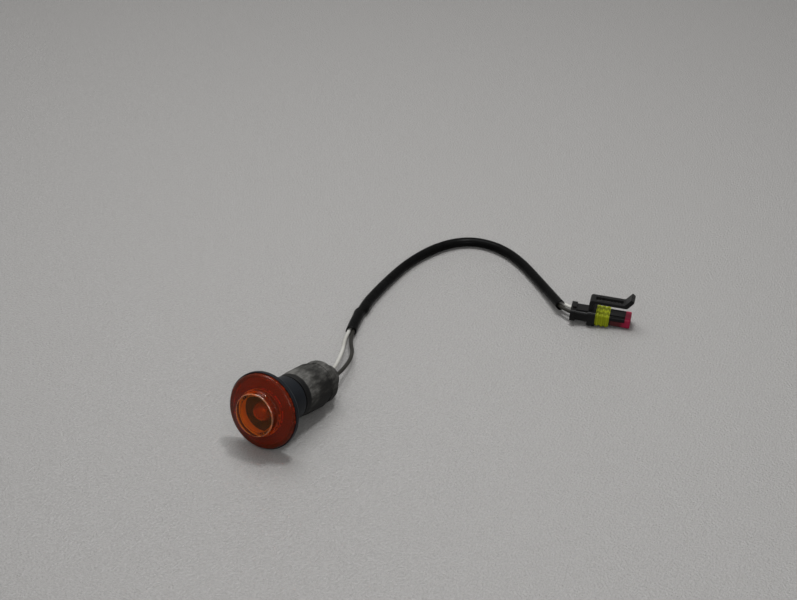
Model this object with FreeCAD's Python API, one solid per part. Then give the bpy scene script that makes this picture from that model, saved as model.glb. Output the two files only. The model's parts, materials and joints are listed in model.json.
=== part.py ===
# Round amber side lamp with a rubber boot, a sleeved pair of wires and a two-way sealed plug.
# Millimetres. The lamp is drawn about its own axis, +Z out of the lens, and then laid on a surface with
# its front towards -Y. The plug is drawn along +X, latch up, and then laid where its lead ends.
import math
import os

import FreeCAD
import Part

V = FreeCAD.Vector

# Fits
slide_gap = 0.2
seat_gap = 0.3
grip_gap = 0.1

# Lamp flange, lip and barrel
rim_radius = 21.0
rim_round = 0.4
lip_width = 0.5
lip_height = 1.1
flange_thickness = 1.4
barrel_radius = 12.3
barrel_length = 19.7
barrel_bore = 10.9
spigot_radius = 10.6
spigot_length = 11.5
spigot_bore = 9.6
bead_height = 0.5
bead_width = 2.0
bead_inset = 1.0
bulkhead_depth = 17.1
bulkhead_thickness = 3.0

# Panel seal
panel_seal_thickness = 1.2
panel_seal_inset = 0.9
panel_seal_round = 0.35

# Lens
lens_wall = 2.5
lens_edge_height = 2.8
lens_edge_round = 1.8
boss_base_radius = 12.3
boss_base_height = 5.6
boss_root_round = 1.0
boss_front_radius = 11.6
boss_height = 3.6
boss_round = 0.8
dome_radius = 10.4
dome_rise = 0.5
rib_wall = 1.3
rib_draft = 1.1

# Capless bulb
bulb_radius = 5.1
bulb_wall = 0.7
bulb_length = 25.2
pinch_width = 9.4
pinch_thickness = 2.2
pinch_length = 7.2
filament_radius = 0.35
filament_span = 4.0
filament_height = 8.0
support_radius = 0.3

# Bulb holder and contacts
holder_nose_radius = 7.2
holder_nose_length = 7.5
holder_flange_radius = 9.3
holder_flange_thickness = 2.5
holder_stem_radius = 7.5
holder_stem_length = 14.0
holder_lug_width = 4.0
holder_lug_height = 1.2
holder_lug_thickness = 2.0
contact_width = 3.0
contact_thickness = 0.5
contact_reach = 1.0
crimp_radius = 1.5
crimp_length = 6.0
crimp_proud = 1.5

# Boot
boot_gap = 1.2
boot_lip_radius = 11.9
boot_radius = 12.5
boot_front_length = 21.0
boot_taper_length = 9.0
waist_radius = 11.3
waist_length = 4.0
rear_ring_radius = 11.8
rear_ring_length = 5.0
rear_ring_round = 2.2
shoulder_radius = 8.4
shoulder_length = 4.0
tail_radius = 6.4
tail_length = 5.5
tail_round = 2.4
boot_wall = 2.2
tail_wall = 9.0
shoulder_lip = 1.5

# Wires and sleeve
wire_diameter = 2.2
wire_pitch = 4.4
wire_slack = 0.8
sleeve_wall = 0.35
sleeve_lift = 0.1

# Plug housing, along its length from the rear
pole_pitch = 5.0
collar_length = 3.2
collar_width = 12.4
collar_height = 7.0
collar_lug_width = 5.0
collar_lug_height = 1.1
stem_length = 7.0
stem_width = 11.0
stem_height = 5.8
stem_pad_width = 7.0
stem_pad_height = 0.5
block_length = 4.4
block_width = 13.8
block_height = 8.7
nose_length = 17.0
nose_width = 10.4
nose_height = 6.2
corner_round = 1.2
key_width = 0.9
key_depth = 0.5
key_offset = 3.3
cavity_side = 2.9
seal_bore = 4.4
seal_bore_depth = 6.2

# Latch arm
latch_width = 8.4
latch_thickness = 1.8
latch_rise = 4.8
latch_reach = 17.5
latch_post = 2.4
latch_round = 1.6
latch_slot_width = 3.2
latch_slot_margin = 0.8
tab_rise = 4.6
tab_reach = 3.6
tab_thickness = 2.6

# Interface seal
seal_length = 8.0
seal_width = 13.4
seal_height = 8.4
seal_groove_depth = 0.6
seal_ribs = 3

# Secondary lock
lock_thickness = 3.2
lock_width = 10.9
lock_height = 6.4
lock_round = 1.6
lock_arm_length = 8.4
lock_arm_thickness = 0.9
lock_arm_height = 2.8
lock_arm_drop = 1.0
lock_window_width = 2.2
lock_window_height = 1.4

# Terminals and wire seals
terminal_side = 2.3
terminal_crimp_length = 8.0
terminal_crimp_radius = 1.3
socket_width = 1.7
socket_height = 0.9
socket_depth = 8.0
wire_seal_length = 4.8
wire_seal_groove = 0.4
wire_seal_ribs = 3

# Where the lead lies: points on the surface, from the lamp to the plug
sleeve_points = [
    (-23.0, 91.2),
    (-31.5, 112.2),
    (-37.0, 148.2),
    (-39.0, 183.2),
    (-32.0, 212.7),
    (-16.0, 226.2),
    (10.5, 221.7),
    (47.8, 193.8),
    (66.2, 177.3),
]
sleeve_end_rise = 2.55
white_points = [(-11.6, 65.2, 6.2), (-20.3, 80.7, 3.9)]
black_points = [(-5.0, 66.2, 5.4), (-17.0, 81.4, 3.7)]
boot_lead = 6.0
plug_point = (74.1, 174.8)
plug_heading = 20.5
plug_lead = 3.8


# Drawing helpers
def across(u, v):
    return V(u, 0, v)


def section_plane(u, v):
    return V(0, u, v)


def outline(corners, plane=across):
    # Each corner is (u, v, round); a fourth value is a point that the edge up to that corner arcs through.
    count = len(corners)
    turns = []
    for i, corner in enumerate(corners):
        point = plane(corner[0], corner[1])
        radius = corner[2]
        if radius == 0:
            turns.append((point, None, point))
            continue
        back = (plane(*corners[i - 1][:2]) - point).normalize()
        ahead = (plane(*corners[(i + 1) % count][:2]) - point).normalize()
        half = back.getAngle(ahead) / 2
        middle = (back + ahead).normalize()
        run = radius / math.tan(half)
        depth = radius / math.sin(half) - radius
        turns.append((point + back * run, point + middle * depth, point + ahead * run))
    edges = []
    for i, (start, middle, end) in enumerate(turns):
        last = turns[i - 1][2]
        if len(corners[i]) == 4:
            edges.append(Part.Arc(last, plane(*corners[i][3]), start).toShape())
        elif last.distanceToPoint(start) > 1e-6:
            edges.append(Part.LineSegment(last, start).toShape())
        if middle is not None:
            edges.append(Part.Arc(start, middle, end).toShape())
    return Part.Face(Part.Wire(Part.__sortEdges__(edges)))


def revolve(corners):
    return outline(corners).revolve(V(0, 0, 0), V(0, 0, 1), 360)


def rod(radius, bottom, top, x=0.0, y=0.0):
    return Part.makeCylinder(radius, top - bottom, V(x, y, bottom))


def block(low, high):
    size = V(*high) - V(*low)
    return Part.makeBox(size.x, size.y, size.z, V(*low))


def bar(start, end, width, height, corner=0.0, lift=0.0):
    w = width / 2
    h = height / 2
    corners = [(-w, lift - h, corner), (w, lift - h, corner), (w, lift + h, corner), (-w, lift + h, corner)]
    face = outline(corners, section_plane)
    face.translate(V(start, 0, 0))
    return face.extrude(V(end - start, 0, 0))


def pipe(radius, start, end, y):
    return Part.makeCylinder(radius, end - start, V(start, y, 0), V(1, 0, 0))


def offset_corner(before, corner, after, distance):
    # Corner of the same outline moved inwards, to the left of its direction of travel
    first = (V(*corner) - V(*before)).normalize()
    second = (V(*after) - V(*corner)).normalize()
    a = V(*corner) + V(-first.y, first.x, 0) * distance
    b = V(*corner) + V(-second.y, second.x, 0) * distance
    along = (b - a).cross(second).z / first.cross(second).z
    moved = a + first * along
    return moved.x, moved.y


def tube(points, diameter):
    # Straight runs joined by tangent arcs, each as large as its two runs allow
    edges = []
    radii = []
    start = points[0]
    for before, corner, after in zip(points, points[1:], points[2:]):
        back = before - corner
        ahead = after - corner
        run = 0.45 * min(back.Length, ahead.Length)
        half = back.getAngle(ahead) / 2
        radius = run * math.tan(half)
        back.normalize()
        ahead.normalize()
        middle = corner + (back + ahead).normalize() * (radius / math.sin(half) - radius)
        edges.append(Part.LineSegment(start, corner + back * run).toShape())
        start = corner + ahead * run
        edges.append(Part.Arc(corner + back * run, middle, start).toShape())
        radii.append(radius)
    edges.append(Part.LineSegment(start, points[-1]).toShape())
    path = Part.Wire(edges)
    ring = Part.Wire(Part.Circle(points[0], points[1] - points[0], diameter / 2).toShape())
    solid = path.makePipeShell([ring], True, False)
    return solid, path.Length, radii


def report_tube(name, solid, length, area, radii):
    bends = ", ".join(f"{radius:.1f}" for radius in radii)
    print(f"{name}: length {length:.1f} mm, volume / (section x length) {solid.Volume / (area * length):.4f}")
    print(f"{name}: bend radii {bends} mm")


# Places along the lamp's axis
flange_back = panel_seal_thickness
lens_seat = flange_back + flange_thickness
barrel_end = flange_back - barrel_length
spigot_end = barrel_end - spigot_length
bulkhead_front = lens_seat - bulkhead_depth
bulkhead_back = bulkhead_front - bulkhead_thickness
nose_hole_radius = holder_nose_radius + seat_gap
bead_back = spigot_end + bead_inset
holder_front = bulkhead_back + holder_nose_length
flange_rear = bulkhead_back - holder_flange_thickness
stem_rear = flange_rear - holder_stem_length
wire_side = wire_pitch / 2
crimp_side = wire_side + wire_slack
wire_radius = wire_diameter / 2


def make_lamp_body():
    lip_inner = rim_radius - lip_width
    lip_top = lens_seat + lip_height
    body = revolve([
        (barrel_bore, lens_seat, 0),
        (lip_inner, lens_seat, 0),
        (lip_inner, lip_top, 0),
        (rim_radius, lip_top, lip_width / 2),
        (rim_radius, flange_back, rim_round),
        (barrel_radius, flange_back, 0),
        (barrel_radius, barrel_end, rim_round),
        (spigot_radius, barrel_end, 0),
        (spigot_radius, bead_back + bead_width, 0),
        (spigot_radius + bead_height, bead_back + bead_width, bead_height / 2),
        (spigot_radius + bead_height, bead_back, bead_height / 2),
        (spigot_radius, bead_back, 0),
        (spigot_radius, spigot_end, 0),
        (spigot_bore, spigot_end, 0),
        (spigot_bore, bulkhead_back, 0),
        (nose_hole_radius, bulkhead_back, 0),
        (nose_hole_radius, bulkhead_front, 0),
        (barrel_bore, bulkhead_front, 0),
    ])
    # Entry notches for the holder's two lugs, a quarter turn away from where they lock
    w = holder_lug_width / 2 + seat_gap
    reach = holder_nose_radius + holder_lug_height + seat_gap
    return body.cut(block((-w, -reach, bulkhead_back), (w, reach, bulkhead_front)))


def make_panel_seal():
    inner = barrel_radius + slide_gap
    outer = rim_radius - panel_seal_inset
    return revolve([
        (inner, 0, panel_seal_round),
        (outer, 0, panel_seal_round),
        (outer, flange_back, 0),
        (inner, flange_back, 0),
    ])


def make_lens():
    edge = rim_radius - lip_width - slide_gap
    base = lens_seat + boss_base_height
    front = base + boss_height
    skirt = (edge, lens_seat)
    rim = (edge, lens_seat + lens_edge_height)
    root = (boss_base_radius, base)
    brow = (boss_front_radius, front)
    sphere = (dome_radius**2 + dome_rise**2) / (2 * dome_rise)
    slope = dome_radius / math.sqrt(sphere**2 - dome_radius**2)
    dome_edge = front + (boss_front_radius - dome_radius) * slope
    dome_top = dome_edge + dome_rise
    half = dome_radius / 2
    dome_half = dome_top - sphere + math.sqrt(sphere**2 - half**2)
    inner_rim = offset_corner(skirt, rim, root, lens_wall)
    # A rib inside carries the boss on the body's seat, round the mouth of the barrel.
    rib_outer = barrel_bore + rib_wall
    fall = (root[1] - rim[1]) / (root[0] - rim[0])
    rib_top = inner_rim[1] + (rib_outer - inner_rim[0]) * fall
    inner_front = front - lens_wall
    return revolve([
        (*skirt, 0),
        (*rim, lens_edge_round),
        (*root, boss_root_round),
        (*brow, boss_round),
        (dome_radius, dome_edge, 0),
        (0, dome_top, 0, (half, dome_half)),
        (0, inner_front, 0),
        (barrel_bore - rib_draft, inner_front, boss_round / 2),
        (barrel_bore, lens_seat, 0),
        (rib_outer, lens_seat, 0),
        (rib_outer, rib_top, boss_root_round / 2),
        (*inner_rim, lens_edge_round / 3),
        (edge - lens_wall, lens_seat, 0),
    ])


# The bulb's pinch stands on the floor of the holder's slot.
slot_floor = holder_front - pinch_length
bulb_shoulder = slot_floor + pinch_length
bulb_top = slot_floor + bulb_length
bulb_floor = bulb_shoulder + bulb_wall


def make_bulb_glass():
    inner = bulb_radius - bulb_wall
    middle = bulb_top - bulb_radius
    part = math.sqrt(0.5)
    envelope = revolve([
        (0, bulb_shoulder, 0),
        (bulb_radius, bulb_shoulder, bulb_wall),
        (bulb_radius, middle, 0),
        (0, bulb_top, 0, (bulb_radius * part, middle + bulb_radius * part)),
        (0, bulb_top - bulb_wall, 0),
        (inner, middle, 0, (inner * part, middle + inner * part)),
        (inner, bulb_floor, 0),
        (0, bulb_floor, 0),
    ])
    w = pinch_width / 2
    t = pinch_thickness / 2
    return envelope.fuse(block((-w, -t, slot_floor), (w, t, bulb_shoulder))).removeSplitter()


def make_bulb_filament():
    x = filament_span / 2
    top = bulb_floor + filament_height
    left = rod(support_radius, bulb_floor, top, -x)
    right = rod(support_radius, bulb_floor, top, x)
    coil = Part.makeCylinder(filament_radius, filament_span, V(-x, 0, top), V(1, 0, 0))
    return coil.fuse([left, right])


contact_front = holder_front - contact_reach
contact_inner = pinch_thickness / 2 + grip_gap
contact_outer = contact_inner + contact_thickness
crimp_rear = stem_rear - crimp_proud
crimp_front = crimp_rear + crimp_length


def contact(side, extra):
    # One blade beside the pinch, a step to the middle and a crimp; extra is the room that its channel leaves
    x0 = side * crimp_side - contact_width / 2 - extra
    x1 = side * crimp_side + contact_width / 2 + extra
    low = contact_inner - extra
    high = contact_outer + extra
    turned = [side * low, side * high]
    blade = block((x0, min(turned), crimp_front), (x1, max(turned), contact_front))
    step = [0, side * high]
    foot = block(
        (x0, min(step), crimp_front - extra),
        (x1, max(step), crimp_front + contact_thickness + extra),
    )
    crimp = rod(crimp_radius + extra, crimp_rear - extra, crimp_front, side * crimp_side)
    return blade.fuse([foot, crimp])


def make_contact(side):
    return contact(side, 0).removeSplitter()


def make_bulb_holder():
    holder = revolve([
        (0, holder_front, 0),
        (holder_nose_radius, holder_front, rim_round),
        (holder_nose_radius, bulkhead_back, 0),
        (holder_flange_radius, bulkhead_back, 0),
        (holder_flange_radius, flange_rear, rim_round),
        (holder_stem_radius, flange_rear, 0),
        (holder_stem_radius, stem_rear, rim_round),
        (0, stem_rear, 0),
    ])
    lug_low = bulkhead_front + slide_gap
    half = holder_lug_width / 2
    reach = holder_nose_radius + holder_lug_height
    lugs = block((-reach, -half, lug_low), (reach, half, lug_low + holder_lug_thickness))
    w = pinch_width / 2 + slide_gap
    t = pinch_thickness / 2 + slide_gap
    slot = block((-w, -t, slot_floor), (w, t, holder_front))
    return holder.fuse(lugs).cut([slot, contact(-1, slide_gap), contact(1, slide_gap)])


# Places along the boot
boot_front = barrel_end - boot_gap
boot_full = boot_front - boot_taper_length
boot_step = boot_front - boot_front_length
waist_back = boot_step - waist_length
ring_back = waist_back - rear_ring_length
shoulder_back = ring_back - shoulder_length
tail_end = shoulder_back - tail_length
tail_floor = tail_end + tail_wall


def make_boot():
    sleeve_bore = spigot_radius + seat_gap
    groove = spigot_radius + bead_height + seat_gap
    groove_front = bead_back + bead_width + seat_gap
    groove_back = bead_back - seat_gap
    cavity = spigot_radius - shoulder_lip
    cavity_back = waist_back
    neck = shoulder_radius - boot_wall
    soft = (boot_radius - boot_lip_radius) / 2
    boot = revolve([
        (sleeve_bore, boot_front, 0),
        (boot_lip_radius, boot_front, soft),
        (boot_radius, boot_full, 2 * boot_taper_length / 3),
        (boot_radius, boot_step, soft),
        (waist_radius, boot_step - waist_length / 3, soft),
        (waist_radius, waist_back, soft),
        (rear_ring_radius, waist_back - soft, soft / 3),
        (rear_ring_radius, ring_back, rear_ring_round),
        (shoulder_radius, shoulder_back, soft),
        (tail_radius, tail_end, tail_round),
        (0, tail_end, 0),
        (0, tail_floor, 0),
        (neck, tail_floor, soft),
        (cavity, cavity_back, soft),
        (cavity, spigot_end, 0),
        (sleeve_bore, spigot_end, 0),
        (sleeve_bore, groove_back, 0),
        (groove, groove_back, 0),
        (groove, groove_front, 0),
        (sleeve_bore, groove_front, 0),
    ])
    hole = wire_radius + grip_gap
    return boot.cut([rod(hole, tail_end - 1, tail_floor + 1, side * wire_side) for side in (-1, 1)])


# Places along the plug
collar_end = collar_length
stem_end = collar_end + stem_length
block_end = stem_end + block_length
nose_end = block_end + nose_length
lock_end = nose_end + lock_thickness
pole_side = pole_pitch / 2


def make_plug_housing():
    collar = bar(0, collar_end, collar_width, collar_height, corner_round)
    lugs = bar(collar_end / 3, collar_end, collar_lug_width, collar_height + 2 * collar_lug_height)
    stem = bar(0, block_end, stem_width, stem_height, corner_round)
    pad = bar(collar_end, stem_end, stem_pad_width, stem_height + 2 * stem_pad_height)
    shoulder = bar(stem_end, block_end, block_width, block_height, corner_round)
    nose = bar(block_end, nose_end, nose_width, nose_height, corner_round)
    low = block_height / 2 + latch_rise
    top = low + latch_thickness
    arm_end = stem_end + latch_post + latch_reach
    tip = arm_end + tab_reach
    slope = math.atan2(tab_rise, tab_reach)
    ahead = tab_thickness * math.sin(slope)
    down = tab_thickness * math.cos(slope)
    bend = (tab_thickness - latch_thickness * math.cos(slope)) / math.sin(slope)
    side_view = outline([
        (stem_end, 0, 0),
        (stem_end, top, latch_round),
        (arm_end, top, latch_round),
        (tip, top + tab_rise, latch_thickness / 3),
        (tip + ahead, top + tab_rise - down, latch_thickness / 3),
        (arm_end + bend, low, latch_round),
        (stem_end + latch_post, low, latch_round),
        (stem_end + latch_post, 0, 0),
    ])
    side_view.translate(V(0, -latch_width / 2, 0))
    latch = side_view.extrude(V(0, latch_width, 0))
    slot = block(
        (stem_end + latch_post + latch_slot_margin, -latch_slot_width / 2, low - 1),
        (arm_end - latch_slot_margin, latch_slot_width / 2, top + 1),
    )
    housing = collar.fuse([lugs, stem, pad, shoulder, nose, latch.cut(slot)]).removeSplitter()
    cuts = []
    for side in (-1, 1):
        y = side * pole_side
        cuts.append(pipe(seal_bore / 2, -1, seal_bore_depth, y))
        half = cavity_side / 2
        cuts.append(block((seal_bore_depth, y - half, -half), (nose_end, y + half, half)))
        cuts.append(lock_arm(side, slide_gap))
        key = side * key_offset
        cuts.append(block(
            (block_end + seal_length, key - key_width / 2, nose_height / 2 - key_depth),
            (nose_end, key + key_width / 2, nose_height / 2),
        ))
    return housing.cut(cuts)


def lock_arm(side, extra):
    half = lock_arm_height / 2 + extra
    faces = [side * (nose_width / 2 - lock_arm_thickness - extra), side * nose_width / 2]
    start = nose_end - lock_arm_length - extra
    return block(
        (start, min(faces), -lock_arm_drop - half),
        (nose_end, max(faces), -lock_arm_drop + half),
    )


def make_secondary_lock():
    plate = bar(nose_end, lock_end, lock_width, lock_height, lock_round)
    front = [edge for edge in plate.Edges if min(v.X for v in edge.Vertexes) > lock_end - 0.01]
    plate = plate.makeFillet(lock_thickness / 4, front)
    lock = plate.fuse([lock_arm(-1, 0), lock_arm(1, 0)]).removeSplitter()
    w = lock_window_width / 2
    h = lock_window_height / 2
    windows = []
    for side in (-1, 1):
        y = side * pole_side
        windows.append(block((nose_end, y - w, -h), (lock_end, y + w, h)))
    return lock.cut(windows)


def make_interface_seal():
    pitch = seal_length / seal_ribs
    crest = pitch / 2
    seal = bar(
        block_end,
        block_end + seal_length,
        seal_width - 2 * seal_groove_depth,
        seal_height - 2 * seal_groove_depth,
        corner_round,
    )
    ribs = []
    for i in range(seal_ribs):
        start = block_end + i * pitch + (pitch - crest) / 2
        rib = bar(start, start + crest, seal_width, seal_height, corner_round + seal_groove_depth)
        sides = [edge for edge in rib.Edges if edge.BoundBox.XLength < 1e-3]
        ribs.append(rib.makeFillet(crest / 3, sides))
    bore = bar(
        block_end - 1,
        block_end + seal_length + 1,
        nose_width + 2 * grip_gap,
        nose_height + 2 * grip_gap,
        corner_round + grip_gap,
    )
    return seal.fuse(ribs).removeSplitter().cut(bore)


def make_terminal(side):
    y = side * pole_side
    half = terminal_side / 2
    crimp_end = seal_bore_depth + terminal_crimp_length
    box = block((crimp_end, y - half, -half), (nose_end, y + half, half))
    crimp = pipe(terminal_crimp_radius, seal_bore_depth, crimp_end, y)
    w = socket_width / 2
    h = socket_height / 2
    socket = block((nose_end - socket_depth, y - w, -h), (nose_end, y + w, h))
    return box.fuse(crimp).removeSplitter().cut(socket)


def make_wire_seal(side):
    outer = seal_bore / 2 - grip_gap
    inner = wire_radius + grip_gap
    groove = outer - wire_seal_groove
    start = seal_bore_depth - wire_seal_length
    pitch = wire_seal_length / (2 * wire_seal_ribs - 1)
    y = side * pole_side
    seal = pipe(groove, start, seal_bore_depth, y)
    ribs = [
        pipe(outer, start + 2 * i * pitch, start + (2 * i + 1) * pitch, y)
        for i in range(wire_seal_ribs)
    ]
    return seal.fuse(ribs).removeSplitter().cut(pipe(inner, 0, seal_bore_depth + 1, y))


lamp = {
    "lens": make_lens(),
    "lamp_body": make_lamp_body(),
    "panel_seal": make_panel_seal(),
    "bulb_glass": make_bulb_glass(),
    "bulb_filament": make_bulb_filament(),
    "bulb_holder": make_bulb_holder(),
    "contact_left": make_contact(-1),
    "contact_right": make_contact(1),
    "boot": make_boot(),
}
plug = {
    "plug_housing": make_plug_housing(),
    "interface_seal": make_interface_seal(),
    "secondary_lock": make_secondary_lock(),
    "terminal_left": make_terminal(1),
    "terminal_right": make_terminal(-1),
    "wire_seal_left": make_wire_seal(1),
    "wire_seal_right": make_wire_seal(-1),
}

# The lamp lies on the rear edge of its rim and on the boot's rear ring, so its front looks up a little.
ring_turn = math.atan2(rear_ring_radius - shoulder_radius, shoulder_length)
ring_centre = ring_back + rear_ring_round * math.tan(ring_turn / 2)
fall = (rim_radius - rim_round) - (rear_ring_radius - rear_ring_round)
reach = (flange_back + rim_round) - ring_centre
tilt = math.degrees(math.atan2(fall, reach) - math.asin((rear_ring_round - rim_round) / math.hypot(fall, reach)))
lamp_place = FreeCAD.Placement(V(0, 0, 0), FreeCAD.Rotation(V(1, 0, 0), 90 - tilt))
laid = Part.Compound([shape.transformed(lamp_place.Matrix) for shape in lamp.values()])
box = laid.optimalBoundingBox(False, False)
lamp_place.Base = V(0, -box.Center.y, -box.ZMin)

# The plug lies on its seal and on the front of its lock.
last_rib = block_end + seal_length - seal_length / seal_ribs / 4
dip = math.degrees(math.atan2(seal_height - lock_height, 2 * (lock_end - last_rib)))
turn = FreeCAD.Rotation(V(0, 0, 1), plug_heading) * FreeCAD.Rotation(V(0, 1, 0), dip)
plug_place = FreeCAD.Placement(V(0, 0, 0), turn)
laid = Part.Compound([shape.transformed(plug_place.Matrix) for shape in plug.values()])
plug_place.Base = V(*plug_point, -laid.optimalBoundingBox(False, False).ZMin)

# Lead
wire_gap = grip_gap
wire_offset = (wire_diameter + wire_gap) / 2
sleeve_bore = 2 * wire_diameter + wire_gap + 2 * seat_gap
sleeve_diameter = sleeve_bore + 2 * sleeve_wall
sleeve_height = sleeve_diameter / 2 + sleeve_lift
sleeve_route = [V(x, y, sleeve_height) for x, y in sleeve_points]
sleeve_route[-1].z += sleeve_end_rise


def beside(route, distance):
    # The same route moved sideways, to the left of its direction of travel
    moved = []
    for i, point in enumerate(route):
        runs = [b - a for a, b in zip(route[max(i - 1, 0):i + 1], route[max(i - 1, 0) + 1:i + 2])]
        sides = [V(-run.y, run.x, 0).normalize() for run in runs]
        middle = (sides[0] + sides[-1]).normalize()
        moved.append(point + middle * (distance / middle.dot(sides[0])))
    return moved


def wire_route(side, points):
    # From the crimp, through the boot's tail and the sleeve, to the terminal
    crimp_x = side * crimp_side
    x = side * wire_side
    middle = (crimp_rear + tail_floor) / 2
    inside = [V(crimp_x, 0, crimp_rear), V(crimp_x, 0, middle), V(x, 0, tail_floor), V(x, 0, tail_end - boot_lead)]
    route = [lamp_place.multVec(point) for point in inside]
    route += [V(*point) for point in points]
    route += beside(sleeve_route, -side * wire_offset)[:-1]
    y = -side * pole_side
    route += [plug_place.multVec(V(-plug_lead, y, 0)), plug_place.multVec(V(seal_bore_depth, y, 0))]
    return route


routes = {
    "wire_white": wire_route(-1, white_points),
    "wire_black": wire_route(1, black_points),
}
lead = {}
for name, route in routes.items():
    lead[name], length, radii = tube(route, wire_diameter)
    report_tube(name, lead[name], length, math.pi * wire_radius**2, radii)
outer, length, radii = tube(sleeve_route, sleeve_diameter)
inner, length, radii = tube(sleeve_route, sleeve_bore)
lead["sleeve"] = outer.cut(inner)
ring = math.pi * (sleeve_diameter**2 - sleeve_bore**2) / 4
report_tube("sleeve", lead["sleeve"], length, ring, radii)

# One file for each piece
pieces = {name: shape.transformed(lamp_place.Matrix) for name, shape in lamp.items()}
pieces.update({name: shape.transformed(plug_place.Matrix) for name, shape in plug.items()})
pieces.update(lead)
os.makedirs("parts", exist_ok=True)
for name, shape in pieces.items():
    shape.exportStep(f"parts/{name}.step")
    print(f"{name}: valid {shape.isValid()}, solids {len(shape.Solids)}, volume {shape.Volume:.1f} mm3")
print(f"tilt {tilt:.3f}, dip {dip:.3f}, seat {lamp_place.multVec(V(0, 0, 0))}, plug {plug_place.Base}")
for name, route in {**routes, "sleeve": sleeve_route}.items():
    print(name, [(round(p.x, 2), round(p.y, 2), round(p.z, 2)) for p in route])
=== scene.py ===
import json
import math

import bpy
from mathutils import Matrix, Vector


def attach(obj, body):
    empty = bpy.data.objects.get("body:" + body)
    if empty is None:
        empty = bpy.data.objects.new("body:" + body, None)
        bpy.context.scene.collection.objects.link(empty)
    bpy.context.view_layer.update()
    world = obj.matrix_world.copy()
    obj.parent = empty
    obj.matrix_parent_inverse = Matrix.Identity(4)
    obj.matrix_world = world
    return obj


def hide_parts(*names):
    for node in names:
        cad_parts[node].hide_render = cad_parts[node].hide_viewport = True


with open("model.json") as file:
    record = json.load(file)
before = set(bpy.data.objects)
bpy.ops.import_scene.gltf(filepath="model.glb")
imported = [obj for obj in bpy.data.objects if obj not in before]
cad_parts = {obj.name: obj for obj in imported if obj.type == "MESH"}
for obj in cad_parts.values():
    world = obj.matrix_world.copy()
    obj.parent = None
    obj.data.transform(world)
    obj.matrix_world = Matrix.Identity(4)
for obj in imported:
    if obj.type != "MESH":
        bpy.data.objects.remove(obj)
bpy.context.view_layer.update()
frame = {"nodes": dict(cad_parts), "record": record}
nodes = frame["nodes"]

# Camera, in metres and degrees, for an image of 797 by 600, and the floor, just below the part
CAMERA_PLACE = (0.5224, -0.72725, 0.5799)
CAMERA_DOWN = 29.5
CAMERA_TURN = 32.1
CAMERA_LENS = 90.3
FLOOR_SIZE = 8.0
FLOOR_GAP = 0.0001

# Lamp: where its panel seat lies and the way that its lens looks. From that seat: the boss's radius, the radius
# and depth where its rounded brow starts, the depth where the rib inside it ends, and the boot's two ends
SEAT = (0.0, -0.022747, 0.020382)
LENS_AXIS = (0.0, -0.983904, 0.178699)
BOSS_RADIUS = 0.01245
BROW_RADIUS = 0.0111
BROW_FRONT = 0.0113
RIB_FRONT = 0.0092
BOOT_FRONT = -0.0197
BOOT_END = -0.0592
# Share of the boot's length from its front, and how pale it is there: dust, and painted shade in the dark gap
# at its front and on its waist
BOOT_DUST_AND_SHADE = [
    (0.0, 0.0),
    (0.07, 0.0),
    (0.1, 0.62),
    (0.24, 0.58),
    (0.34, 0.42),
    (0.56, 0.4),
    (0.64, 0.56),
    (1.0, 0.5),
]

# Plug: where its nose ends and the way that it looks, how far back the painted shade on the lock reaches and
# how unevenly its edge runs
NOSE = (0.106598, 0.186951, 0.003157)
NOSE_AXIS = (0.933856, 0.349154, -0.077485)
LOCK_SHADE_DEPTH = 0.0116
LOCK_SHADE_SPREAD = 0.0012

# Lead: the route's points, in metres, from the lamp to the plug
SLEEVE_DIAMETER = 0.0058
SLEEVE_WALL = 0.00035
SLEEVE_SIDES = 28
WIRE_DIAMETER = 0.0022
SLEEVE_ROUTE = [
    (-0.02300, 0.09120, 0.00300),
    (-0.03150, 0.11220, 0.00300),
    (-0.03700, 0.14820, 0.00300),
    (-0.03900, 0.18320, 0.00300),
    (-0.03200, 0.21270, 0.00300),
    (-0.01600, 0.22620, 0.00300),
    (0.01050, 0.22170, 0.00300),
    (0.04780, 0.19380, 0.00300),
    (0.06620, 0.17730, 0.00555),
]
WHITE_ROUTE = [
    (-0.00300, 0.01218, 0.01404),
    (-0.00300, 0.01941, 0.01273),
    (-0.00220, 0.02665, 0.01141),
    (-0.00220, 0.04140, 0.00873),
    (-0.01160, 0.06520, 0.00620),
    (-0.02030, 0.08070, 0.00390),
    (-0.02407, 0.09077, 0.00300),
    (-0.03262, 0.11189, 0.00300),
    (-0.03815, 0.14808, 0.00300),
    (-0.04016, 0.18330, 0.00300),
    (-0.03303, 0.21333, 0.00300),
    (-0.01633, 0.22742, 0.00300),
    (0.01097, 0.22279, 0.00300),
    (0.04853, 0.19469, 0.00300),
    (0.06968, 0.17581, 0.00615),
    (0.07901, 0.17931, 0.00537),
]
BLACK_ROUTE = [
    (0.00300, 0.01218, 0.01404),
    (0.00300, 0.01941, 0.01273),
    (0.00220, 0.02665, 0.01141),
    (0.00220, 0.04140, 0.00873),
    (-0.00500, 0.06620, 0.00540),
    (-0.01700, 0.08140, 0.00370),
    (-0.02193, 0.09163, 0.00300),
    (-0.03038, 0.11251, 0.00300),
    (-0.03585, 0.14832, 0.00300),
    (-0.03784, 0.18310, 0.00300),
    (-0.03097, 0.21207, 0.00300),
    (-0.01567, 0.22498, 0.00300),
    (0.01003, 0.22061, 0.00300),
    (0.04707, 0.19291, 0.00300),
    (0.07143, 0.17113, 0.00615),
    (0.08077, 0.17462, 0.00537),
]
# Share of the sleeve's length, and how wide its flattened section is there to the left and to the right
SLEEVE_WIDTHS = [
    (0.0, 1.08, 1.02),
    (0.05, 1.1, 0.98),
    (0.076, 1.3, 0.92),
    (0.086, 0.94, 1.3),
    (0.13, 1.03, 1.05),
    (0.24, 0.97, 0.97),
    (0.34, 0.91, 0.91),
    (0.46, 1.02, 1.02),
    (0.62, 1.06, 1.06),
    (0.85, 0.98, 0.98),
    (1.0, 0.93, 0.93),
]


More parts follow.
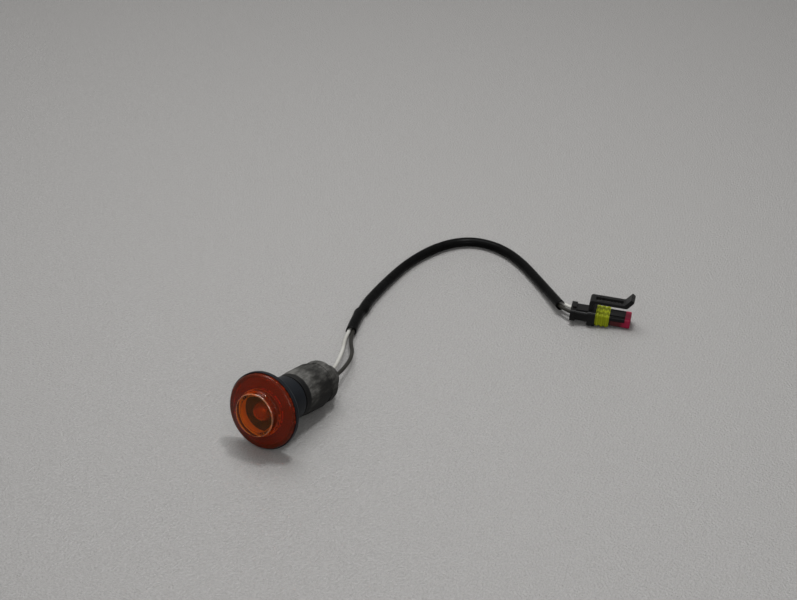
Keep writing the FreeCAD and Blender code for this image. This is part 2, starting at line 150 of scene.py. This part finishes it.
# Materials
def new_material(name):
    material = bpy.data.materials.new(name)
    material.use_nodes = True
    tree = material.node_tree
    return material, tree, tree.nodes["Principled BSDF"]


def noise(tree, scale, detail=4.0, rough=0.55, stretch=(1.0, 1.0, 1.0)):
    place = tree.nodes.new("ShaderNodeTexCoord")
    mapping = tree.nodes.new("ShaderNodeMapping")
    mapping.inputs["Scale"].default_value = stretch
    tree.links.new(place.outputs["Object"], mapping.inputs["Vector"])
    texture = tree.nodes.new("ShaderNodeTexNoise")
    texture.inputs["Scale"].default_value = scale
    texture.inputs["Detail"].default_value = detail
    texture.inputs["Roughness"].default_value = rough
    tree.links.new(mapping.outputs["Vector"], texture.inputs["Vector"])
    return texture.outputs["Fac"]


def ramp(tree, factor, stops):
    node = tree.nodes.new("ShaderNodeValToRGB")
    while len(node.color_ramp.elements) < len(stops):
        node.color_ramp.elements.new(0.5)
    for element, (place, colour) in zip(node.color_ramp.elements, stops):
        element.position = place
        element.color = (*colour, 1.0)
    tree.links.new(factor, node.inputs["Fac"])
    return node.outputs["Color"]


def grey(value):
    return value, value, value


def bump(tree, shader, height, strength, distance):
    node = tree.nodes.new("ShaderNodeBump")
    node.inputs["Strength"].default_value = strength
    node.inputs["Distance"].default_value = distance
    tree.links.new(height, node.inputs["Height"])
    tree.links.new(node.outputs["Normal"], shader.inputs["Normal"])


def moulded(name, dark, light, rough, grain=900.0, strength=0.15, patch=60.0, shine=0.5):
    # Moulded surface: broad colour patches, uneven gloss and a fine grain
    material, tree, shader = new_material(name)
    broad = noise(tree, patch)
    tree.links.new(ramp(tree, broad, [(0.3, dark), (0.7, light)]), shader.inputs["Base Color"])
    gloss = ramp(tree, noise(tree, patch * 2.3), [(0.3, grey(rough[0])), (0.7, grey(rough[1]))])
    tree.links.new(gloss, shader.inputs["Roughness"])
    shader.inputs["Specular IOR Level"].default_value = shine
    bump(tree, shader, noise(tree, grain, 2.0), strength, 0.0002)
    return material


def clear(name, colour, rough, transmission, ior, scale=300.0, ripple=0.01):
    # Clear moulded or blown piece with a faint ripple
    material, tree, shader = new_material(name)
    tint = ramp(tree, noise(tree, scale / 6), [(0.3, tuple(c * 0.9 for c in colour)), (0.7, colour)])
    tree.links.new(tint, shader.inputs["Base Color"])
    shader.inputs["Roughness"].default_value = rough
    shader.inputs["Transmission Weight"].default_value = transmission
    shader.inputs["IOR"].default_value = ior
    bump(tree, shader, noise(tree, scale, 1.0), ripple, 0.0004)
    return material


def maths(tree, operation, *values):
    node = tree.nodes.new("ShaderNodeMath")
    node.operation = operation
    for socket, value in zip(node.inputs, values):
        if isinstance(value, float):
            socket.default_value = value
        else:
            tree.links.new(value, socket)
    return node.outputs["Value"]


def axis_place(tree, origin=SEAT, axis=LENS_AXIS):
    # Depth along an axis, the lamp's if no other is given, and the square of the distance from it
    place = tree.nodes.new("ShaderNodeTexCoord")
    offset = tree.nodes.new("ShaderNodeVectorMath")
    offset.operation = "SUBTRACT"
    offset.inputs[1].default_value = origin
    tree.links.new(place.outputs["Object"], offset.inputs[0])
    forward = tree.nodes.new("ShaderNodeVectorMath")
    forward.operation = "DOT_PRODUCT"
    forward.inputs[1].default_value = axis
    tree.links.new(offset.outputs["Vector"], forward.inputs[0])
    reach = tree.nodes.new("ShaderNodeVectorMath")
    reach.operation = "LENGTH"
    tree.links.new(offset.outputs["Vector"], reach.inputs[0])
    depth = forward.outputs["Value"]
    reach_square = maths(tree, "POWER", reach.outputs["Value"], 2.0)
    depth_square = maths(tree, "POWER", depth, 2.0)
    return depth, maths(tree, "SUBTRACT", reach_square, depth_square)


def overlap(tree, first, *others):
    # Where all of the masks are one
    for mask in others:
        first = maths(tree, "MULTIPLY", first, mask)
    return first


def lens_zone(tree):
    # Five even steps from 0 to 1: ring, boss, the boss's brow with its painted highlight line, the inside of
    # its wall, and the rib, these last two with a painted glow
    depth, square = axis_place(tree)
    facing = tree.nodes.new("ShaderNodeNewGeometry")
    inside = facing.outputs["Backfacing"]
    outside = maths(tree, "SUBTRACT", 1.0, inside)
    boss = maths(tree, "LESS_THAN", square, BROW_RADIUS**2)
    outer = maths(tree, "SUBTRACT", maths(tree, "LESS_THAN", square, BOSS_RADIUS**2), boss)
    # Painted highlight: the brow's rounded edge gets a paler, less clear tint that shows as a line of light
    brow_highlight_mask = overlap(tree, outer, maths(tree, "GREATER_THAN", depth, BROW_FRONT), outside)
    # Painted glow: the wall's inside and the rib are made pale and nearly opaque so that they show as lit
    # through the lens
    wall_glow_mask = overlap(tree, outer, inside)
    rib_glow_mask = overlap(tree, boss, maths(tree, "LESS_THAN", depth, RIB_FRONT), outside)
    steps = maths(tree, "MULTIPLY_ADD", brow_highlight_mask, 2.0, boss)
    steps = maths(tree, "MULTIPLY_ADD", maths(tree, "ADD", wall_glow_mask, rib_glow_mask), 3.0, steps)
    return maths(tree, "MULTIPLY", steps, 0.25)


def zone_ramp(tree, zone, colours):
    last = len(colours) - 1
    return ramp(tree, zone, [(i / last, colour) for i, colour in enumerate(colours)])


def amber_lens():
    # Clear amber moulding, redder in its ring; paler on the boss's brow as a painted highlight line, and pale
    # and nearly opaque on its wall's inside and the rib as a painted glow of light through the lens
    material, tree, shader = new_material("amber_lens")
    zone = lens_zone(tree)
    tints = [(0.86, 0.09, 0.004), (1.0, 0.35, 0.012), (1.0, 0.36, 0.12), (1.0, 0.72, 0.05), (1.0, 1.0, 0.12)]
    levels = {
        "Roughness": [0.02, 0.02, 0.02, 0.3, 0.4],
        "Transmission Weight": [0.93, 0.98, 0.8, 0.1, 0.0],
        "Coat Weight": [0.0, 0.0, 0.45, 0.0, 0.0],
    }
    tree.links.new(zone_ramp(tree, zone, tints), shader.inputs["Base Color"])
    for socket, values in levels.items():
        tree.links.new(zone_ramp(tree, zone, [grey(value) for value in values]), shader.inputs[socket])
    shader.inputs["Coat Roughness"].default_value = 0.12
    shader.inputs["Coat IOR"].default_value = 1.9
    shader.inputs["IOR"].default_value = 1.27
    bump(tree, shader, noise(tree, 300.0, 1.0), 0.01, 0.0004)
    return material


def body_plastic():
    # Black moulding with a faint blue, made paler in the barrel's bore as painted light
    material = moulded("body_black", (0.006, 0.007, 0.009), (0.01, 0.012, 0.015), (0.28, 0.42), shine=0.08)
    tree = material.node_tree
    shader = tree.nodes["Principled BSDF"]
    square = axis_place(tree)[1]
    # Painted light: the bore is made paler so that its inside, seen through the lens, looks lit
    bore_glow_mask = maths(tree, "LESS_THAN", square, BROW_RADIUS**2)
    blend = tree.nodes.new("ShaderNodeMixRGB")
    tree.links.new(bore_glow_mask, blend.inputs["Fac"])
    tree.links.new(shader.inputs["Base Color"].links[0].from_socket, blend.inputs["Color1"])
    paleness_and_painted_light = ramp(tree, noise(tree, 300.0), [(0.3, grey(0.03)), (0.7, grey(0.06))])
    tree.links.new(paleness_and_painted_light, blend.inputs["Color2"])
    tree.links.new(blend.outputs["Color"], shader.inputs["Base Color"])
    return material


def metal(name, dark, light, rough):
    material, tree, shader = new_material(name)
    tree.links.new(ramp(tree, noise(tree, 400.0), [(0.3, dark), (0.7, light)]), shader.inputs["Base Color"])
    shader.inputs["Metallic"].default_value = 1.0
    shader.inputs["Roughness"].default_value = rough
    bump(tree, shader, noise(tree, 2500.0), 0.1, 0.0001)
    return material


def dusty_rubber_with_painted_light():
    # Dark rubber under pale dust that gathers in streaks, paler on what faces up from dust and painted light
    # from above, and darker in painted shade at its front gap and its waist
    material, tree, shader = new_material("boot_rubber")
    streaks = noise(tree, 260.0, 8.0, 0.7, (1.0, 0.3, 1.0))
    facing = tree.nodes.new("ShaderNodeNewGeometry")
    split = tree.nodes.new("ShaderNodeSeparateXYZ")
    tree.links.new(facing.outputs["Normal"], split.inputs["Vector"])
    # Faces that look up are made paler: settled dust, and painted light from above
    dust_and_top_light = maths(tree, "MULTIPLY_ADD", split.outputs["Z"], 0.16, streaks)
    depth = axis_place(tree)[0]
    along = maths(tree, "DIVIDE", maths(tree, "SUBTRACT", depth, BOOT_FRONT), BOOT_END - BOOT_FRONT)
    # Bands along the boot: dust, with painted shade in the dark gap at its front and on its waist
    banded_dust_and_shade = ramp(tree, along, [(share, grey(level)) for share, level in BOOT_DUST_AND_SHADE])
    paleness_and_painted_light = maths(tree, "ADD", dust_and_top_light, maths(tree, "SUBTRACT", banded_dust_and_shade, 0.5))
    stops = [
        (0.36, grey(0.004)),
        (0.52, (0.015, 0.0145, 0.0135)),
        (0.66, (0.045, 0.044, 0.041)),
        (0.82, (0.1, 0.098, 0.093)),
    ]
    tree.links.new(ramp(tree, paleness_and_painted_light, stops), shader.inputs["Base Color"])
    tree.links.new(ramp(tree, paleness_and_painted_light, [(0.3, grey(0.5)), (0.7, grey(0.85))]), shader.inputs["Roughness"])
    shader.inputs["Specular IOR Level"].default_value = 0.12
    bump(tree, shader, noise(tree, 1500.0, 3.0), 0.25, 0.0002)
    return material


def lock_plastic():
    # Red moulding, with painted shade: a dark brown red on the arms behind its front plate
    material, tree, shader = new_material("lock_red")
    depth = axis_place(tree, NOSE, NOSE_AXIS)[0]
    spread = maths(tree, "MULTIPLY", maths(tree, "SUBTRACT", noise(tree, 500.0), 0.5), LOCK_SHADE_SPREAD)
    shade_reach = maths(tree, "DIVIDE", maths(tree, "SUBTRACT", spread, depth), LOCK_SHADE_DEPTH)
    # Painted shade: dark brown red from a little behind the front plate back along the arms
    stops = [
        (0.0, (0.26, 0.007, 0.036)),
        (0.36, (0.2, 0.006, 0.026)),
        (0.5, (0.06, 0.007, 0.009)),
        (1.0, (0.04, 0.008, 0.007)),
    ]
    tree.links.new(ramp(tree, shade_reach, stops), shader.inputs["Base Color"])
    gloss = ramp(tree, noise(tree, 140.0), [(0.3, grey(0.4)), (0.7, grey(0.55))])
    tree.links.new(gloss, shader.inputs["Roughness"])
    shader.inputs["Specular IOR Level"].default_value = 0.2
    bump(tree, shader, noise(tree, 900.0, 2.0), 0.15, 0.0002)
    return material


MATERIALS = {
    "amber_lens": amber_lens(),
    "body_black": body_plastic(),
    "foam_black": moulded("foam_black", grey(0.015), grey(0.03), (0.7, 0.9), 1800.0, 0.4),
    "boot_rubber": dusty_rubber_with_painted_light(),
    "bulb_clear": clear("bulb_clear", (0.9, 0.22, 0.26), 0.02, 0.85, 1.5),
    "tungsten": metal("tungsten", (0.35, 0.34, 0.32), (0.5, 0.49, 0.47), 0.35),
    "holder_plastic": moulded("holder_plastic", grey(0.035), grey(0.06), (0.45, 0.6)),
    "contact_brass": metal("contact_brass", (0.6, 0.44, 0.18), (0.78, 0.6, 0.3), 0.3),
    "wire_white": moulded("wire_white", (0.3, 0.295, 0.27), (0.44, 0.435, 0.41), (0.4, 0.55)),
    "wire_black": moulded("wire_black", (0.01, 0.0095, 0.0075), (0.02, 0.019, 0.015), (0.4, 0.55), shine=0.2),
    "sleeve_black": moulded("sleeve_black", grey(0.002), grey(0.0045), (0.2, 0.36), 500.0, 0.2, 90.0, 0.03),
    "plug_black": moulded("plug_black", grey(0.005), grey(0.01), (0.26, 0.42), 1200.0, shine=0.1),
    "seal_green": moulded(
        "seal_green", (0.13, 0.155, 0.002), (0.24, 0.27, 0.004), (0.4, 0.6), 1500.0, shine=0.15
    ),
    "lock_red": lock_plastic(),
}
for entry in frame["record"]["subparts"]:
    mesh = nodes[entry["node"]].data
    mesh.materials.clear()
    mesh.materials.append(MATERIALS[entry["material_slot"]])


# Lead
def route_curve(name, route):
    curve = bpy.data.curves.new(name, "CURVE")
    curve.dimensions = "3D"
    curve.resolution_u = 24
    spline = curve.splines.new("NURBS")
    spline.points.add(len(route) - 1)
    for point, place in zip(spline.points, route):
        point.co = (*place, 1.0)
    spline.order_u = 3
    spline.use_endpoint_u = True
    piece = bpy.data.objects.new(name, curve)
    bpy.context.scene.collection.objects.link(piece)
    return piece


def add_wire(name, node, route, slot):
    piece = route_curve(name, route)
    piece.data.bevel_depth = WIRE_DIAMETER / 2
    piece.data.bevel_resolution = 4
    piece.data.use_fill_caps = True
    piece.data.materials.append(MATERIALS[slot])
    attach(piece, "root")
    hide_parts(node)


def sleeve_widths(share):
    for (a, left_a, right_a), (b, left_b, right_b) in zip(SLEEVE_WIDTHS, SLEEVE_WIDTHS[1:]):
        if share <= b:
            t = (share - a) / (b - a)
            t = t * t * (3 - 2 * t)
            return left_a + (left_b - left_a) * t, right_a + (right_b - right_a) * t
    return SLEEVE_WIDTHS[-1][1:]


def add_sleeve():
    # A thin tube along the route's spline, flattened more in some places than in others and open at both ends
    guide = route_curve("sleeve_guide", SLEEVE_ROUTE)
    line = bpy.data.meshes.new_from_object(guide)
    path = [vertex.co.copy() for vertex in line.vertices]
    bpy.data.objects.remove(guide)
    vertices = []
    for inside in (0, 1):
        for i, point in enumerate(path):
            ahead = (path[min(i + 1, len(path) - 1)] - path[max(i - 1, 0)]).normalized()
            side = ahead.cross(Vector((0, 0, 1))).normalized()
            up = side.cross(ahead)
            left, right = sleeve_widths(i / (len(path) - 1))
            low = min(1.0, 2.0 / (left + right))
            half = SLEEVE_DIAMETER / 2 - inside * SLEEVE_WALL
            for k in range(SLEEVE_SIDES):
                angle = 2 * math.pi * k / SLEEVE_SIDES
                wide = right if math.cos(angle) > 0 else left
                across = side * (half * wide * math.cos(angle))
                vertices.append(point + across + up * (half * low * math.sin(angle)))
    faces = []
    layer = len(path) * SLEEVE_SIDES
    for i in range(len(path) - 1):
        for k in range(SLEEVE_SIDES):
            a = i * SLEEVE_SIDES + k
            b = i * SLEEVE_SIDES + (k + 1) % SLEEVE_SIDES
            faces.append((b, a, a + SLEEVE_SIDES, b + SLEEVE_SIDES))
            faces.append((layer + a, layer + b, layer + b + SLEEVE_SIDES, layer + a + SLEEVE_SIDES))
    last = (len(path) - 1) * SLEEVE_SIDES
    for k in range(SLEEVE_SIDES):
        a = k
        b = (k + 1) % SLEEVE_SIDES
        faces.append((a, b, layer + b, layer + a))
        faces.append((last + b, last + a, layer + last + a, layer + last + b))
    mesh = bpy.data.meshes.new("sleeve_skin")
    mesh.from_pydata(vertices, [], faces)
    mesh.shade_smooth()
    mesh.materials.append(MATERIALS["sleeve_black"])
    piece = bpy.data.objects.new("sleeve_skin", mesh)
    bpy.context.scene.collection.objects.link(piece)
    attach(piece, "root")
    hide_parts("sleeve")


add_wire("white_lead", "wire_white", WHITE_ROUTE, "wire_white")
add_wire("black_lead", "wire_black", BLACK_ROUTE, "wire_black")
add_sleeve()


# Floor, light and camera
def add_floor():
    mesh = bpy.data.meshes.new("floor")
    half = FLOOR_SIZE / 2
    corners = [(-half, -half, 0), (half, -half, 0), (half, half, 0), (-half, half, 0)]
    mesh.from_pydata(corners, [], [(0, 1, 2, 3)])
    floor = bpy.data.objects.new("floor", mesh)
    floor.location.z = -FLOOR_GAP
    bpy.context.scene.collection.objects.link(floor)
    material, tree, shader = new_material("floor_card")
    grain = noise(tree, 700.0, 6.0, 0.7)
    colour = ramp(tree, grain, [(0.3, (0.225, 0.22, 0.216)), (0.7, (0.305, 0.299, 0.294))])
    tree.links.new(colour, shader.inputs["Base Color"])
    shader.inputs["Roughness"].default_value = 0.3
    bump(tree, shader, noise(tree, 800.0, 3.0), 1.0, 0.0009)
    mesh.materials.append(material)


def add_light(name, place, aim, size, power):
    light = bpy.data.lights.new(name, "AREA")
    light.shape = "DISK"
    light.size = size
    light.energy = power
    lamp = bpy.data.objects.new(name, light)
    lamp.location = place
    lamp.rotation_euler = (Vector(aim) - Vector(place)).to_track_quat("-Z", "Y").to_euler()
    bpy.context.scene.collection.objects.link(lamp)


def add_camera():
    camera = bpy.data.cameras.new("camera")
    camera.sensor_width = 36.0
    camera.lens = CAMERA_LENS
    camera.clip_start = 0.01
    holder = bpy.data.objects.new("camera", camera)
    holder.location = CAMERA_PLACE
    holder.rotation_euler = (math.radians(90 - CAMERA_DOWN), 0, math.radians(CAMERA_TURN))
    bpy.context.scene.collection.objects.link(holder)
    bpy.context.scene.camera = holder


add_floor()
add_light("key", (0.05, 0.3, 0.95), (0.0, 0.05, 0.0), 0.16, 4.4)
add_light("window", (-0.3, 0.34, 0.9), (0.02, 0.02, 0.0), 0.6, 4.6)
add_light("fill", (-0.05, -0.45, 1.3), (0.0, 0.0, 0.0), 2.0, 3.6)
add_light("front", (0.55, -0.6, 0.5), (0.0, -0.03, 0.02), 0.5, 2.3)
add_camera()
world = bpy.data.worlds.new("studio")
world.use_nodes = True
background = world.node_tree.nodes["Background"]
background.inputs["Color"].default_value = (1.0, 0.99, 0.97, 1.0)
background.inputs["Strength"].default_value = 0.36
bpy.context.scene.world = world
bpy.context.scene.view_settings.view_transform = "Standard"
